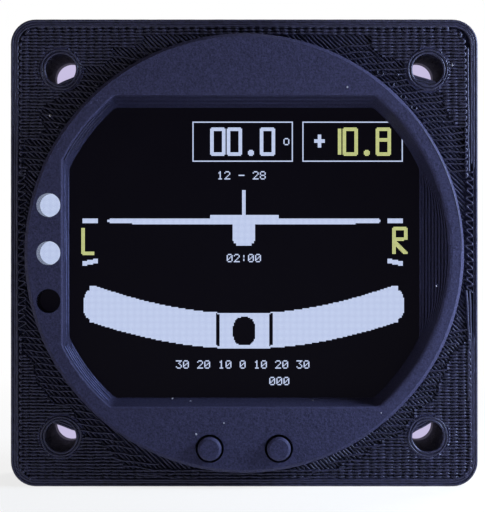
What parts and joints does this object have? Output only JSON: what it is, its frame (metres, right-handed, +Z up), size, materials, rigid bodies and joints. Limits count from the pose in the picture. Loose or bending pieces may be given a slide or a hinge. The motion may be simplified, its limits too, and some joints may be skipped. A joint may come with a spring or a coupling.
{
  "type": "aircraft turn coordinator",
  "caption": "Square panel instrument with a round raised bezel, clipped-circle display window, lamp windows, push buttons, corner mounting holes and a rear D connector.",
  "frame": {"origin": "centre of the four panel holes, on the square flange's front face", "axes": "+X right and +Z up as the pilot sees it, -Y towards the pilot, +Y back into the panel"},
  "size_m": [0.06, 0.0246, 0.06],
  "materials": {
    "printed_housing": "printed plastic, bluish black, fine grain",
    "printed_cover": "printed plastic, bluish black, fine lines",
    "display_face": "polariser film over a dark display",
    "display_glass": "thin display glass",
    "chip_black": "moulded package",
    "backlight_white": "white light guide frame",
    "amber_flex": "polyimide film",
    "grey_foam": "closed-cell foam",
    "board_green": "solder mask over glass fibre",
    "socket_ivory": "moulded socket",
    "plated_steel": "zinc plated",
    "ferrite_grey": "sintered ferrite",
    "capacitor_amber": "moulded package",
    "switch_black": "moulded switch",
    "button_black": "printed plastic, bluish black",
    "brass_inserts": "turned brass",
    "tinned_shell": "tin plated steel",
    "connector_moulding": "moulded insulator",
    "gold_contacts": "gold flash"
  },
  "bodies": {
    "case": {"front_housing": "printed_housing", "rear_cover": "printed_cover", "polariser": "display_face", "front_glass": "display_glass", "rear_glass": "display_glass", "driver_chip": "chip_black", "backlight": "backlight_white", "lcd_flex": "amber_flex", "foam_strips": "grey_foam", "main_board": "board_green", "flex_socket": "socket_ivory", "microcontroller": "chip_black", "crystal": "plated_steel", "gyro_sensor": "chip_black", "regulator": "chip_black", "inductor": "ferrite_grey", "capacitors": "capacitor_amber", "left_switch": "switch_black", "right_switch": "switch_black", "board_screws": "plated_steel", "cover_inserts": "brass_inserts", "cover_screws": "plated_steel", "connector_shell": "tinned_shell", "connector_insulator": "connector_moulding", "connector_contacts": "gold_contacts", "jack_nuts": "plated_steel", "jack_screws": "plated_steel"},
    "left_button": {"left_button_cap": "button_black", "left_switch_plunger": "switch_black"},
    "right_button": {"right_button_cap": "button_black", "right_switch_plunger": "switch_black"}
  },
  "joints": [
    {"name": "left_button_press", "type": "slide", "parent": "case", "child": "left_button", "axis": [0, 1, 0], "range_m": [0, 0.0003], "stiffness_N_per_m": 2000},
    {"name": "right_button_press", "type": "slide", "parent": "case", "child": "right_button", "axis": [0, 1, 0], "range_m": [0, 0.0003], "stiffness_N_per_m": 2000}
  ]
}
